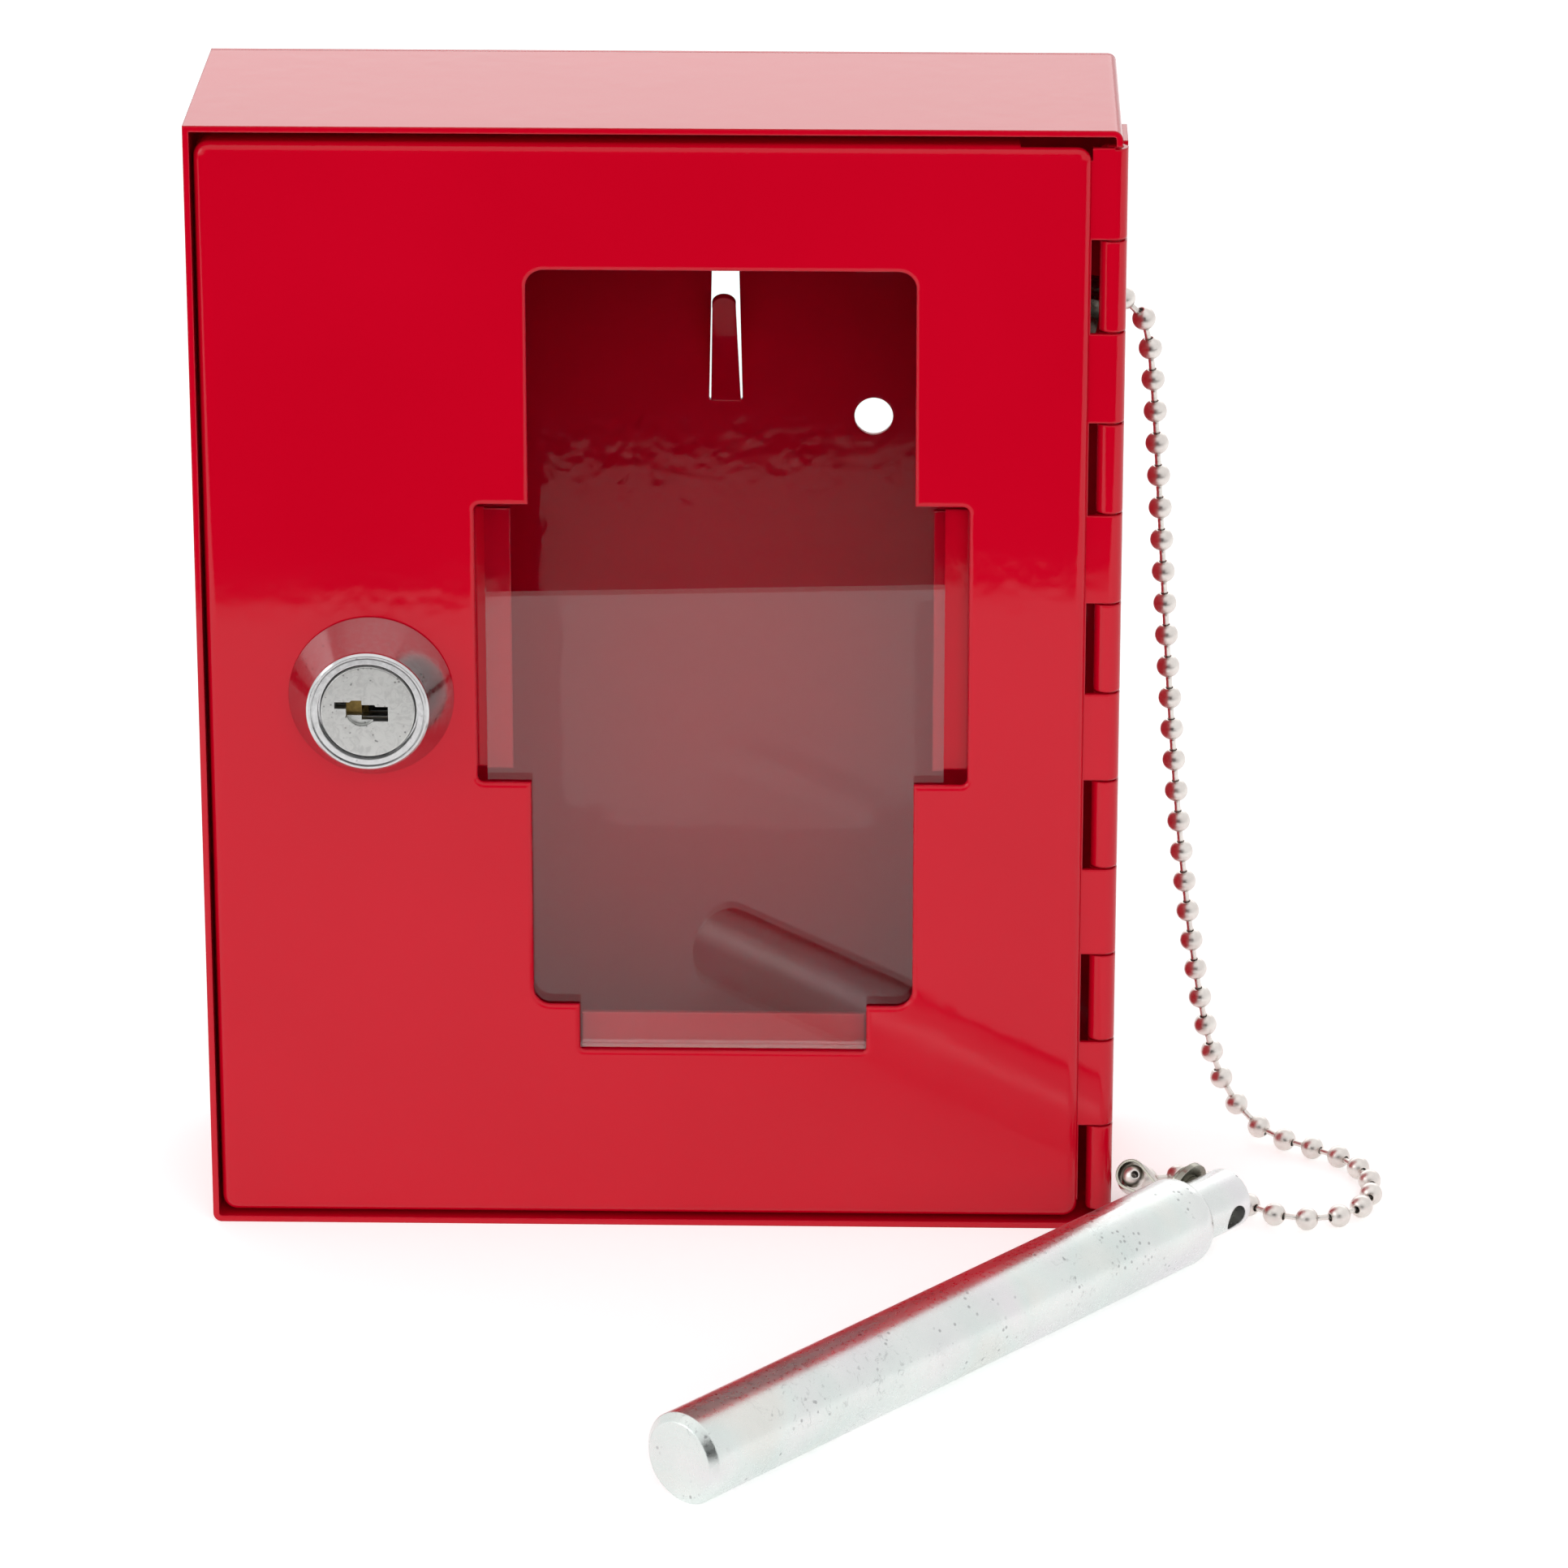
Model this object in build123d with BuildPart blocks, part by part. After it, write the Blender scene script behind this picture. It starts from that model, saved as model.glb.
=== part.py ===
from build123d import *
from math import cos, radians, sin, tan
import os

# Break glass key box: sheet steel case, hinged door with a glass pane, cam lock, and a
# striker bar on a ball chain. Millimetres. X is right, Y is depth into the box, Z is up.
# The origin is the centre of the case's bottom face, on the surface that the box stands on.

os.makedirs("parts", exist_ok=True)

# ---- case -------------------------------------------------------------------------------
case_width = 120.0
case_height = 152.0
case_depth = 40.0
case_sheet = 0.8
case_bend = 1.2
front_y = -case_depth / 2
back_y = case_depth / 2
back_inner_y = back_y - case_sheet
inner_x = case_width / 2 - case_sheet
inner_top = case_height - case_sheet

# ---- back plate: lanced key hook and wall holes -----------------------------------------
hook_x = 8.2
hook_root_z = 104.2
hook_length = 19.0
hook_width = 4.0
hook_tip_width = 3.1
hook_tip_rise = 1.9
hook_lean = 27.0
hook_slot_gap = 0.25
hook_slot_height = 19.8
hook_slot_corner = 0.3
wall_hole_radius = 2.6
wall_hole_spacing = 56.2
wall_hole_z = 102.0

# ---- piano hinge ------------------------------------------------------------------------
hinge_pin_radius = 0.95
hinge_pin_clearance = 0.05
hinge_pin_chamfer = 0.25
hinge_leaf = 0.8
hinge_barrel_radius = 1.75
hinge_knuckles = 12
hinge_length = 147.2
hinge_bottom_z = 2.3
hinge_knuckle_gap = 0.35
hinge_case_leaf_width = 10.5
hinge_door_leaf_width = 9.2
hinge_weld_margin = 1.6
hinge_relief = 0.4

# ---- door -------------------------------------------------------------------------------
door_sheet = 0.8
door_bend = 1.4
door_flange = 8.0
door_corner = 2.0
door_gap_left = 0.45
door_gap_top = 1.4
door_gap_bottom = 0.7
door_gap_barrel = 1.1

# ---- window: main cut-out, side notches and bottom notch that the channels are bent from --
window_x = 8.7
window_width = 50.3
window_bottom = 31.7
window_top = 133.1
window_corner = 2.3
notch_width = 64.4
notch_bottom = 63.1
notch_top = 101.5
notch_corner = 0.9
foot_width = 38.1
foot_bottom = 25.2
foot_corner = 0.6
window_edge = 0.6
tab_relief = 1.2
foot_tab_relief = 0.15
tab_return = 4.6

# ---- glass pane -------------------------------------------------------------------------
pane_side_play = 2.2
pane_thickness = 2.0
pane_top = 136.0
pane_clearance = 0.2
pane_shift = -0.9

# ---- cam lock ---------------------------------------------------------------------------
lock_place = 0.61
lock_z = 75.3
bezel_base_radius = 10.85
bezel_foot = 0.4
bezel_ring_radius = 8.05
bezel_height = 7.0
bezel_ring_height = 0.7
bezel_ring_edge = 0.3
bezel_groove_radius = 7.3
bezel_groove = 0.16
barrel_thread_radius = 7.95
barrel_length = 13.0
thread_clearance = 0.06
plug_radius = 6.2
plug_clearance = 0.08
plug_well_gap = 0.36
plug_well_depth = 1.1
plug_recess = 0.3
plug_edge = 0.2
tail_side = 6.0
keyway_shift = -0.85
key_recess_radius = 2.0
key_recess_depth = 0.7
keyway_length = 7.0
keyway_height = 2.0
keyway_step = 0.6
keyway_ward_length = 1.5
keyway_ward_height = 1.1
keyway_depth = 12.4
wafer_count = 5
wafer_pitch = 2.2
wafer_first = 1.3
wafer_thickness = 0.6
wafer_length = 9.6
wafer_height = 5.2
wafer_clearance = 0.05
wafer_window_length = 3.6
wafer_window_height = 3.2
wafer_window_shift = 1.3
wafer_side_window = 1.7
wafer_post = 2.1
wafer_slide = 0.35
lock_washer_radius = 10.5
lock_washer_thickness = 0.8
lock_nut_across_flats = 20.0
lock_nut_thickness = 3.2
cam_gap = 0.1
cam_thickness = 2.0
cam_wall_gap = 1.95
cam_hub_radius = 7.2
cam_arm_width = 12.0
cam_tip_corner = 3.0
cam_fit = 0.05
cam_washer_radius = 5.2
cam_washer_thickness = 0.8
cam_screw_radius = 2.0
cam_screw_bore_clearance = 0.05
cam_screw_head_radius = 4.0
cam_screw_head_height = 2.6
cam_screw_head_edge = 0.9
cam_screw_length = 6.5
cam_screw_slot = 1.0
cam_screw_slot_depth = 1.2

# ---- strike bracket on the left wall ------------------------------------------------------
strike_sheet = 0.8
strike_height = 16.0
strike_foot = 9.0
strike_lip = 6.7
strike_gap = 0.3
strike_corner = 1.0

# ---- striker bar ------------------------------------------------------------------------
bar_radius = 6.0
bar_length = 109.4
bar_chamfer = 1.0
bar_shoulder_run = 2.8
neck_radius = 4.1
neck_length = 9.0
neck_chamfer = 0.5
bar_tip_x = 5.72
bar_tip_y = -106.2
bar_heading = 49.8
eye_from_end = 3.2
eye_radius = 1.8
eye_tilt = 15.0

# ---- rivet in the neck and the two chain clips --------------------------------------------
rivet_press_clearance = 0.02
rivet_end_depth = 5.0
rivet_head_radius = 2.3
rivet_head_height = 0.9
rivet_head_gap = 0.05
rivet_dish_radius = 1.4
rivet_dish_depth = 0.5
clip_sheet = 0.35
clip_width = 2.6
clip_bead_play = 0.175
clip_neck_gap = 0.25
clip_eyelet_radius = 3.4
clip_eyelet_thickness = 0.8
clip_eyelet_clearance = 0.05
clip_reach = 7.5
clip_offset = 2.8
clip_root_offset = 3.3
clip_root_radius = 0.4
clip_turn = 234.0
case_clip_tilt = 10.0

# ---- ball chain ---------------------------------------------------------------------------
bead_radius = 1.55
bead_wall = 0.25
bead_pitch = 4.6
link_radius = 0.42
link_head_radius = 0.55
link_head_setback = 0.68
link_clearance = 0.06
chain_inset = 2.3
chain_start_y = -4.3
chain_start_z = 126.3
chain_hole_radius = 2.05
chain_hole_y = -3.4
chain_hole_z = 126.15
chain_fold = 0.45

# ==== case wrap: one strip bent at three corners and welded at the upper left one ===========
hinge_x = case_width / 2 + hinge_leaf - hinge_barrel_radius
hinge_y = front_y + door_sheet + hinge_barrel_radius
hinge_top_z = hinge_bottom_z + hinge_length
hinge_mid_z = hinge_bottom_z + hinge_length / 2
wall_front_cut = door_sheet + 2 * hinge_barrel_radius + hinge_relief

with BuildPart() as case_wrap:
    with BuildSketch(Plane.XZ.offset(-front_y)) as case_outline:
        with Locations((0, case_height / 2)):
            Rectangle(case_width, case_height)
        case_corners = case_outline.vertices().sort_by(Axis.X)
        left_corners = ShapeList(case_corners[:2]).sort_by(Axis.Y)
        fillet([left_corners[0], case_corners[2], case_corners[3]], case_bend)
    extrude(amount=-(case_depth - case_sheet))
    with BuildSketch(Plane.XZ.offset(-front_y)) as case_mouth:
        with Locations((0, case_height / 2)):
            Rectangle(case_width - 2 * case_sheet, case_height - 2 * case_sheet)
        mouth_corners = case_mouth.vertices().sort_by(Axis.X)
        left_mouth_corners = ShapeList(mouth_corners[:2]).sort_by(Axis.Y)
        fillet([left_mouth_corners[0], mouth_corners[2], mouth_corners[3]], case_bend - case_sheet)
    extrude(amount=-case_depth, mode=Mode.SUBTRACT)
    with BuildSketch(Plane.XZ.offset(-front_y)):
        with Locations((case_width / 2, hinge_mid_z)):
            Rectangle(2 * case_bend + case_sheet, hinge_length + 2 * hinge_relief)
    extrude(amount=-wall_front_cut, mode=Mode.SUBTRACT)
    with BuildSketch(Plane.YZ.offset(case_width / 2)):
        with Locations((chain_hole_y, chain_hole_z)):
            Circle(chain_hole_radius)
    extrude(amount=-2 * case_sheet, mode=Mode.SUBTRACT)
case_wrap.part.label = "case_wrap"
export_step(case_wrap.part, "parts/case_wrap.step")

# ==== back plate, with the key hook lanced forward out of its slot ==========================
hook_root_y = back_y - case_sheet / 2
hook_plane = Plane(
    origin=(hook_x, hook_root_y, hook_root_z),
    x_dir=(1, 0, 0),
    z_dir=(0, -cos(radians(hook_lean)), -sin(radians(hook_lean))),
)
hook_root_half = hook_width / 2
hook_tip_half = hook_tip_width / 2
slot_root_half = hook_root_half + hook_slot_gap
slot_top_half = hook_tip_half + hook_slot_gap
slot_top_z = hook_root_z + hook_slot_height

with BuildPart() as back_plate:
    with BuildSketch(Plane.XZ.offset(-back_y)) as back_outline:
        with Locations((0, case_height / 2)):
            Rectangle(case_width, case_height)
        back_corners = back_outline.vertices().sort_by(Axis.X)
        left_back_corners = ShapeList(back_corners[:2]).sort_by(Axis.Y)
        fillet([left_back_corners[0], back_corners[2], back_corners[3]], case_bend)
        with Locations((0, wall_hole_z)):
            with GridLocations(wall_hole_spacing, 0, 2, 1):
                Circle(wall_hole_radius, mode=Mode.SUBTRACT)
    extrude(amount=case_sheet)
    with BuildSketch(Plane.XZ.offset(-back_y)) as hook_slot:
        with BuildLine():
            Polyline(
                (hook_x - slot_root_half, hook_root_z),
                (hook_x + slot_root_half, hook_root_z),
                (hook_x + slot_top_half, slot_top_z),
                (hook_x - slot_top_half, slot_top_z),
                close=True,
            )
        make_face()
        fillet(hook_slot.vertices(), hook_slot_corner)
    extrude(amount=case_sheet, mode=Mode.SUBTRACT)
    with BuildSketch(hook_plane):
        with BuildLine():
            tongue_right = Line((hook_root_half, 0), (hook_tip_half, hook_length - hook_tip_rise))
            tongue_tip = ThreePointArc(
                tongue_right @ 1,
                (0, hook_length),
                (-hook_tip_half, hook_length - hook_tip_rise),
            )
            Polyline(tongue_tip @ 1, (-hook_root_half, 0), (hook_root_half, 0))
        make_face()
    extrude(amount=case_sheet / 2, both=True)
    with BuildSketch(Plane.YZ.offset(hook_x)):
        with Locations((hook_root_y, hook_root_z)):
            Circle(case_sheet / 2)
    extrude(amount=hook_width / 2, both=True)
back_plate.part.label = "back_plate"
export_step(back_plate.part, "parts/back_plate.step")

# ==== piano hinge ===========================================================================
knuckle_pitch = hinge_length / hinge_knuckles
knuckle_length = knuckle_pitch - hinge_knuckle_gap
knuckle_cut = knuckle_pitch - knuckle_length / 2
knuckle_z = [hinge_top_z - knuckle_pitch * (i + 0.5) for i in range(hinge_knuckles)]
door_knuckle_z = knuckle_z[0::2]
case_knuckle_z = knuckle_z[1::2]
barrel_bore = hinge_pin_radius + hinge_pin_clearance
barrel_reach = hinge_barrel_radius + hinge_relief

with BuildPart() as hinge_leaf_case:
    with BuildSketch(Plane.YZ.offset(case_width / 2)):
        with Locations((hinge_y + hinge_case_leaf_width / 2, hinge_mid_z)):
            Rectangle(hinge_case_leaf_width, hinge_length)
    extrude(amount=hinge_leaf)
    for z in case_knuckle_z:
        with BuildSketch(Plane.XY.offset(z)):
            with Locations((hinge_x, hinge_y)):
                Circle(hinge_barrel_radius)
        extrude(amount=knuckle_length / 2, both=True)
    for z in door_knuckle_z:
        with BuildSketch(Plane.XY.offset(z)):
            with Locations((hinge_x, hinge_y)):
                Rectangle(2 * barrel_reach, 2 * barrel_reach)
        extrude(amount=knuckle_cut, both=True, mode=Mode.SUBTRACT)
    with BuildSketch(Plane.XY.offset(hinge_bottom_z)):
        with Locations((hinge_x, hinge_y)):
            Circle(barrel_bore)
    extrude(amount=hinge_length, mode=Mode.SUBTRACT)
hinge_leaf_case.part.label = "hinge_leaf_case"
export_step(hinge_leaf_case.part, "parts/hinge_leaf_case.step")

door_left = -inner_x + door_gap_left
door_right = hinge_x - hinge_barrel_radius - door_gap_barrel
door_bottom = case_sheet + door_gap_bottom
door_top = inner_top - door_gap_top
door_width = door_right - door_left
door_height = door_top - door_bottom
door_x = (door_left + door_right) / 2
door_z = (door_top + door_bottom) / 2
door_back_y = front_y + door_sheet
barrel_side_width = door_gap_barrel + 2 * hinge_barrel_radius

with BuildPart() as hinge_leaf_door:
    with BuildSketch(Plane.XZ.offset(-door_back_y)):
        with Locations((door_right - hinge_door_leaf_width / 2, hinge_mid_z)):
            Rectangle(hinge_door_leaf_width, hinge_length - 2 * hinge_weld_margin)
        with Locations(((door_right + hinge_x) / 2, hinge_mid_z)):
            Rectangle(hinge_x - door_right, hinge_length)
    extrude(amount=-hinge_leaf)
    for z in door_knuckle_z:
        with BuildSketch(Plane.XY.offset(z)):
            with Locations((hinge_x, hinge_y)):
                Circle(hinge_barrel_radius)
        extrude(amount=knuckle_length / 2, both=True)
    for z in case_knuckle_z:
        with BuildSketch(Plane.XY.offset(z)):
            with Locations((door_right + barrel_side_width / 2, hinge_y)):
                Rectangle(barrel_side_width, 2 * barrel_reach)
        extrude(amount=knuckle_cut, both=True, mode=Mode.SUBTRACT)
    with BuildSketch(Plane.XY.offset(hinge_bottom_z)):
        with Locations((hinge_x, hinge_y)):
            Circle(barrel_bore)
    extrude(amount=hinge_length, mode=Mode.SUBTRACT)
hinge_leaf_door.part.label = "hinge_leaf_door"
export_step(hinge_leaf_door.part, "parts/hinge_leaf_door.step")

with BuildPart() as hinge_pin:
    with BuildSketch(Plane.XY.offset(hinge_bottom_z)):
        with Locations((hinge_x, hinge_y)):
            Circle(hinge_pin_radius)
    extrude(amount=hinge_length)
    chamfer(hinge_pin.edges().filter_by(GeomType.CIRCLE), length=hinge_pin_chamfer)
hinge_pin.part.label = "hinge_pin"
export_step(hinge_pin.part, "parts/hinge_pin.step")

# ==== door panel: folded pan, window cut-out and the three channels that hold the pane ======
pane_front_y = door_back_y + pane_clearance
pane_back_y = pane_front_y + pane_thickness
return_y = pane_back_y + pane_clearance
return_back_y = return_y + door_sheet
tab_root_y = front_y + door_sheet / 2
notch_left = window_x - notch_width / 2
notch_right = window_x + notch_width / 2
notch_mid_z = (notch_bottom + notch_top) / 2
tab_height = notch_top - notch_bottom - 2 * tab_relief
foot_tab_width = foot_width - 2 * foot_tab_relief
hinge_flat_x = door_right - hinge_door_leaf_width
lock_x = door_left + lock_place * (notch_left - door_left)

with BuildPart() as door_panel:
    with BuildSketch(Plane.XZ.offset(-front_y)):
        with Locations((door_x, door_z)):
            RectangleRounded(door_width, door_height, door_corner)
    extrude(amount=-door_flange)
    fillet(door_panel.faces().sort_by(Axis.Y)[0].edges(), door_bend)
    with BuildSketch(Plane.XZ.offset(-door_back_y)):
        with Locations((door_x + door_width / 2, door_z)):
            RectangleRounded(
                2 * (door_width - door_sheet),
                door_height - 2 * door_sheet,
                door_corner - door_sheet,
            )
    extrude(amount=-door_flange, mode=Mode.SUBTRACT)
    with BuildSketch(Plane.XZ.offset(-door_back_y)):
        with Locations(((hinge_flat_x + door_right) / 2, door_z)):
            Rectangle(hinge_door_leaf_width, door_height)
    extrude(amount=-door_flange, mode=Mode.SUBTRACT)
    with BuildSketch(Plane.XZ.offset(-front_y)):
        with Locations((window_x, (window_bottom + window_top) / 2)):
            RectangleRounded(window_width, window_top - window_bottom, window_corner)
        with Locations((window_x, notch_mid_z)):
            RectangleRounded(notch_width, notch_top - notch_bottom, notch_corner)
        with Locations((window_x, (foot_bottom + notch_bottom) / 2)):
            RectangleRounded(foot_width, notch_bottom - foot_bottom, foot_corner)
    extrude(amount=-door_sheet, mode=Mode.SUBTRACT)
    window_rim = door_panel.faces().sort_by(Axis.Y)[0].inner_wires()[0]
    fillet(window_rim.edges(), window_edge)
    with BuildSketch(Plane.XZ.offset(-front_y)):
        with Locations((lock_x, lock_z)):
            Circle(barrel_thread_radius + thread_clearance)
    extrude(amount=-door_sheet, mode=Mode.SUBTRACT)
    for side, edge_x in ((-1, notch_left), (1, notch_right)):
        with BuildSketch(Plane.XY.offset(notch_mid_z)):
            with BuildLine():
                Polyline(
                    (edge_x + side * door_sheet, tab_root_y),
                    (edge_x, tab_root_y),
                    (edge_x, return_y),
                    (edge_x - side * tab_return, return_y),
                    (edge_x - side * tab_return, return_back_y),
                    (edge_x + side * door_sheet, return_back_y),
                    close=True,
                )
            make_face()
        extrude(amount=tab_height / 2, both=True)
    with BuildSketch(Plane.YZ.offset(window_x)):
        with BuildLine():
            Polyline(
                (tab_root_y, foot_bottom - door_sheet),
                (tab_root_y, foot_bottom),
                (return_y, foot_bottom),
                (return_y, foot_bottom + tab_return),
                (return_back_y, foot_bottom + tab_return),
                (return_back_y, foot_bottom - door_sheet),
                close=True,
            )
        make_face()
    extrude(amount=foot_tab_width / 2, both=True)
door_panel.part.label = "door_panel"
export_step(door_panel.part, "parts/door_panel.step")

# ==== glass pane, standing in the bottom channel and held by the side channels ==============
pane_bottom = foot_bottom + pane_clearance
pane_width = notch_width - 2 * pane_side_play
with BuildPart() as glass_pane:
    with BuildSketch(Plane.XZ.offset(-pane_front_y)):
        with Locations((window_x + pane_shift, (pane_bottom + pane_top) / 2)):
            Rectangle(pane_width, pane_top - pane_bottom)
    extrude(amount=-pane_thickness)
glass_pane.part.label = "glass_pane"
export_step(glass_pane.part, "parts/glass_pane.step")

# ==== cam lock ==============================================================================
lock_front_y = front_y - bezel_height
lock_rear_y = front_y + barrel_length
plug_bore = plug_radius + plug_clearance
plug_well = plug_radius + plug_well_gap
lock_profile_plane = Plane(origin=(lock_x, 0, lock_z), x_dir=(1, 0, 0), z_dir=(0, 0, 1))
lock_axis = Axis((lock_x, 0, lock_z), (0, 1, 0))

with BuildPart() as lock_housing:
    with BuildSketch(lock_profile_plane):
        with BuildLine():
            Polyline(
                (plug_bore, lock_front_y + plug_well_depth),
                (plug_well, lock_front_y + plug_well_depth),
                (plug_well, lock_front_y + bezel_groove),
                (bezel_groove_radius, lock_front_y + bezel_groove),
                (bezel_groove_radius, lock_front_y + 2 * bezel_groove),
                (bezel_groove_radius + bezel_groove, lock_front_y + 2 * bezel_groove),
                (bezel_groove_radius + bezel_groove, lock_front_y),
                (bezel_ring_radius - bezel_ring_edge, lock_front_y),
                (bezel_ring_radius, lock_front_y + bezel_ring_edge),
                (bezel_ring_radius, lock_front_y + bezel_ring_height),
                (bezel_base_radius, front_y - bezel_foot),
                (bezel_base_radius, front_y),
                (barrel_thread_radius, front_y),
                (barrel_thread_radius, lock_rear_y),
                (plug_bore, lock_rear_y),
                close=True,
            )
        make_face()
    revolve(axis=lock_axis)
lock_housing.part.label = "lock_housing"
export_step(lock_housing.part, "parts/lock_housing.step")

plug_face_y = lock_front_y + plug_recess
cam_y = lock_rear_y + cam_gap
cam_back_y = cam_y + cam_thickness
tail_end_y = cam_back_y - cam_gap
screw_seat_y = cam_back_y + cam_washer_thickness
screw_tip_y = screw_seat_y - cam_screw_length
screw_bore = cam_screw_radius + cam_screw_bore_clearance
keyway_x = lock_x + keyway_shift
ward_x = keyway_x - keyway_length / 2 + keyway_ward_length / 2
ward_z = lock_z + keyway_step / 2 - keyway_height / 2 + keyway_ward_height / 2
cam_reach = lock_x + inner_x - cam_wall_gap
wafer_slot_y = [plug_face_y + wafer_first + wafer_pitch * i for i in range(wafer_count)]

with BuildPart() as lock_plug:
    with BuildSketch(Plane.XZ.offset(-plug_face_y)):
        with Locations((lock_x, lock_z)):
            Circle(plug_radius)
    extrude(amount=-(lock_rear_y - plug_face_y))
    fillet(lock_plug.faces().sort_by(Axis.Y)[0].edges(), plug_edge)
    with BuildSketch(Plane.XZ.offset(-lock_rear_y)):
        with Locations((lock_x, lock_z)):
            Rectangle(tail_side, tail_side)
    extrude(amount=-(tail_end_y - lock_rear_y))
    with BuildSketch(Plane.XZ.offset(-plug_face_y)):
        with Locations((keyway_x, lock_z)):
            Circle(key_recess_radius)
    extrude(amount=-key_recess_depth, mode=Mode.SUBTRACT)
    with BuildSketch(Plane.XZ.offset(-plug_face_y)):
        with Locations((keyway_x - keyway_length / 4, lock_z + keyway_step / 2)):
            Rectangle(keyway_length / 2, keyway_height)
        with Locations((ward_x, ward_z)):
            Rectangle(keyway_ward_length, keyway_ward_height, mode=Mode.SUBTRACT)
        with Locations((keyway_x + keyway_length / 4, lock_z - keyway_step / 2)):
            Rectangle(keyway_length / 2, keyway_height)
    extrude(amount=-keyway_depth, mode=Mode.SUBTRACT)
    for y in wafer_slot_y:
        with BuildSketch(Plane.XZ.offset(-y)):
            with Locations((lock_x, lock_z)):
                Rectangle(2 * plug_bore, wafer_height + 2 * wafer_clearance)
        extrude(amount=-(wafer_thickness + 2 * wafer_clearance), mode=Mode.SUBTRACT)
    with BuildSketch(Plane.XZ.offset(-tail_end_y)):
        with Locations((lock_x, lock_z)):
            Circle(screw_bore)
    extrude(amount=tail_end_y - screw_tip_y + cam_gap, mode=Mode.SUBTRACT)
lock_plug.part.label = "lock_plug"
export_step(lock_plug.part, "parts/lock_plug.step")

side_window_x = wafer_window_shift - wafer_window_length / 2 - wafer_post - wafer_side_window / 2
with BuildPart() as lock_wafers:
    for i, y in enumerate(wafer_slot_y):
        slide = -wafer_slide if i % 2 == 0 else wafer_slide
        with BuildSketch(Plane.XZ.offset(-(y + wafer_clearance))):
            with Locations((lock_x + slide, lock_z)):
                Rectangle(wafer_length, wafer_height)
            with Locations((lock_x + slide + wafer_window_shift, lock_z)):
                Rectangle(wafer_window_length, wafer_window_height, mode=Mode.SUBTRACT)
            with Locations((lock_x + slide + side_window_x, lock_z)):
                Rectangle(wafer_side_window, wafer_window_height, mode=Mode.SUBTRACT)
        extrude(amount=-wafer_thickness)
lock_wafers.part.label = "lock_wafers"
export_step(lock_wafers.part, "parts/lock_wafers.step")

with BuildPart() as lock_washer:
    with BuildSketch(Plane.XZ.offset(-door_back_y)):
        with Locations((lock_x, lock_z)):
            Circle(lock_washer_radius)
            Circle(barrel_thread_radius + thread_clearance, mode=Mode.SUBTRACT)
    extrude(amount=-lock_washer_thickness)
lock_washer.part.label = "lock_washer"
export_step(lock_washer.part, "parts/lock_washer.step")

with BuildPart() as lock_nut:
    with BuildSketch(Plane.XZ.offset(-(door_back_y + lock_washer_thickness))):
        with Locations((lock_x, lock_z)):
            RegularPolygon(lock_nut_across_flats / 2, 6, major_radius=False)
            Circle(barrel_thread_radius + thread_clearance, mode=Mode.SUBTRACT)
    extrude(amount=-lock_nut_thickness)
lock_nut.part.label = "lock_nut"
export_step(lock_nut.part, "parts/lock_nut.step")

with BuildPart() as lock_cam:
    with BuildSketch(Plane.XZ.offset(-cam_y)) as cam_outline:
        with Locations((lock_x, lock_z + cam_reach / 2)):
            Rectangle(cam_arm_width, cam_reach)
        fillet(cam_outline.vertices().group_by(Axis.Y)[-1], cam_tip_corner)
        with Locations((lock_x, lock_z)):
            Circle(cam_hub_radius)
            Rectangle(tail_side + 2 * cam_fit, tail_side + 2 * cam_fit, mode=Mode.SUBTRACT)
    extrude(amount=-cam_thickness)
lock_cam.part.label = "lock_cam"
export_step(lock_cam.part, "parts/lock_cam.step")

with BuildPart() as cam_washer:
    with BuildSketch(Plane.XZ.offset(-cam_back_y)):
        with Locations((lock_x, lock_z)):
            Circle(cam_washer_radius)
            Circle(screw_bore, mode=Mode.SUBTRACT)
    extrude(amount=-cam_washer_thickness)
cam_washer.part.label = "cam_washer"
export_step(cam_washer.part, "parts/cam_washer.step")

with BuildPart() as cam_screw:
    with BuildSketch(Plane.XZ.offset(-screw_seat_y)):
        with Locations((lock_x, lock_z)):
            Circle(cam_screw_head_radius)
    extrude(amount=-cam_screw_head_height)
    fillet(cam_screw.faces().sort_by(Axis.Y)[-1].edges(), cam_screw_head_edge)
    with BuildSketch(Plane.XZ.offset(-screw_tip_y)):
        with Locations((lock_x, lock_z)):
            Circle(cam_screw_radius)
    extrude(amount=-cam_screw_length)
    with BuildSketch(Plane.XZ.offset(-(screw_seat_y + cam_screw_head_height))):
        with Locations((lock_x, lock_z)):
            Rectangle(cam_screw_slot, 2 * cam_screw_head_radius)
    extrude(amount=cam_screw_slot_depth, mode=Mode.SUBTRACT)
cam_screw.part.label = "cam_screw"
export_step(cam_screw.part, "parts/cam_screw.step")

# ==== strike bracket: the lip that the cam turns behind when the door is locked =============
strike_lip_back_y = cam_y - strike_gap
strike_lip_front_y = strike_lip_back_y - strike_sheet
with BuildPart() as cam_strike:
    with BuildSketch(Plane.XY.offset(lock_z)):
        with BuildLine():
            Polyline(
                (-inner_x, strike_lip_front_y),
                (-inner_x + strike_lip, strike_lip_front_y),
                (-inner_x + strike_lip, strike_lip_back_y),
                (-inner_x + strike_sheet, strike_lip_back_y),
                (-inner_x + strike_sheet, strike_lip_front_y + strike_foot),
                (-inner_x, strike_lip_front_y + strike_foot),
                close=True,
            )
        make_face()
    extrude(amount=strike_height / 2, both=True)
    strike_end = cam_strike.faces().sort_by(Axis.X)[-1]
    fillet(strike_end.edges().filter_by(Axis.Y), strike_corner)
cam_strike.part.label = "cam_strike"
export_step(cam_strike.part, "parts/cam_strike.step")

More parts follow.
